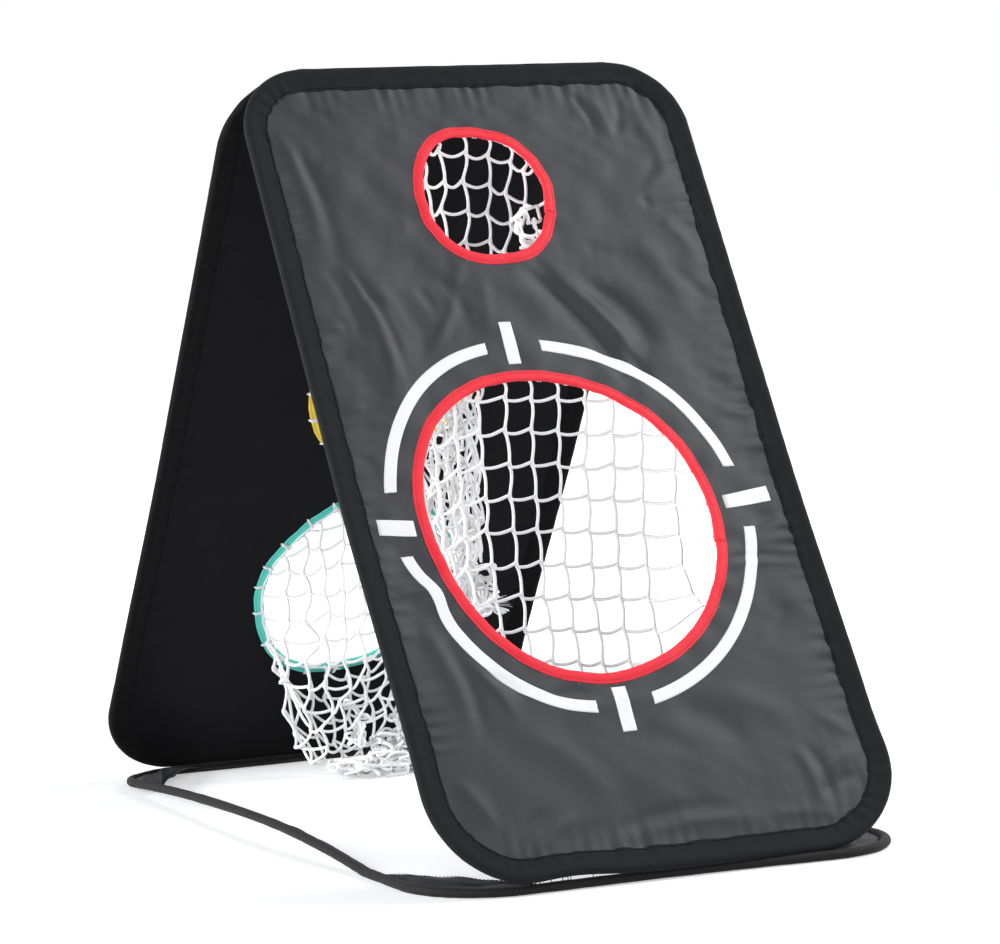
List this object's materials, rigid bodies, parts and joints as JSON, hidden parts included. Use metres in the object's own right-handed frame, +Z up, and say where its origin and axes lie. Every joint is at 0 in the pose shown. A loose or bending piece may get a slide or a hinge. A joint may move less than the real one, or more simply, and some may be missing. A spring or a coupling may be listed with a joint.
{
  "type": "golf chipping net",
  "caption": "Folding A-frame chipping net: fabric panels on sprung wire hoops, with trimmed round target openings, slack catch nets, a printed aiming ring and an open ground hoop.",
  "frame": {"origin": "on the ground, midway between the feet of the front and back panels and on the middle plane of the hoops", "axes": "+X along the ridge, to the right as seen by a player facing the front panel; +Y from the front panel to the back panel; +Z up"},
  "size_m": [0.515, 0.9334, 0.8026],
  "materials": {
    "spring_wire": "drawn spring steel",
    "ferrule": "crimped plain steel",
    "front_binding_tape": "woven charcoal tape, slight sheen",
    "black_binding_tape": "woven black tape",
    "hinge_webbing": "woven black webbing",
    "gusset_cloth": "coated black cloth",
    "grey_cloth": "coated grey woven cloth, soft sheen",
    "black_cloth": "coated black woven cloth",
    "red_trim": "coral red grosgrain tape",
    "yellow_trim": "mustard yellow grosgrain tape",
    "teal_trim": "teal grosgrain tape",
    "white_netting": "soft white braided cord",
    "white_print": "flat white screen print"
  },
  "bodies": {
    "back_panel": {"back_hoop_wire": "spring_wire", "back_hoop_ferrule": "ferrule", "back_binding": "black_binding_tape", "back_cloth": "black_cloth", "back_upper_trim": "yellow_trim", "back_lower_trim": "teal_trim", "back_upper_net": "white_netting", "back_lower_net": "white_netting", "back_upper_net_loops": "white_netting", "back_lower_net_loops": "white_netting", "back_upper_net_knot": "white_netting", "ridge_seam_tape": "black_binding_tape", "rear_hinge_web_upper": "hinge_webbing"},
    "front_panel": {"front_hoop_wire": "spring_wire", "front_hoop_ferrule": "ferrule", "front_binding": "front_binding_tape", "front_cloth": "grey_cloth", "front_upper_trim": "red_trim", "front_lower_trim": "red_trim", "front_upper_net": "white_netting", "front_lower_net": "white_netting", "front_upper_net_loops": "white_netting", "front_lower_net_loops": "white_netting", "front_aiming_mark": "white_print"},
    "ground_hoop": {"base_hoop_wire": "spring_wire", "base_hoop_ferrule": "ferrule", "base_sleeve": "black_binding_tape", "rear_hinge_web_lower": "hinge_webbing", "base_gusset_front_left": "gusset_cloth", "base_gusset_front_right": "gusset_cloth", "base_gusset_rear_left": "gusset_cloth", "base_gusset_rear_right": "gusset_cloth"}
  },
  "joints": [
    {"name": "ridge_fold", "type": "hinge", "parent": "back_panel", "child": "front_panel", "pos_m": [0, 0, 0.79599], "axis": [1, 0, 0], "range_deg": [0, 60], "deforming": ["front_upper_net", "front_lower_net", "back_upper_net", "back_lower_net", "back_upper_net_knot"]},
    {"name": "base_swing", "type": "hinge", "parent": "back_panel", "child": "ground_hoop", "pos_m": [0, 0.47172, -0.00045], "axis": [1, 0, 0], "range_deg": [0, 300]}
  ],
  "couplings": [
    {"joint": "base_swing", "follows": "ridge_fold", "ratio": 5}
  ]
}
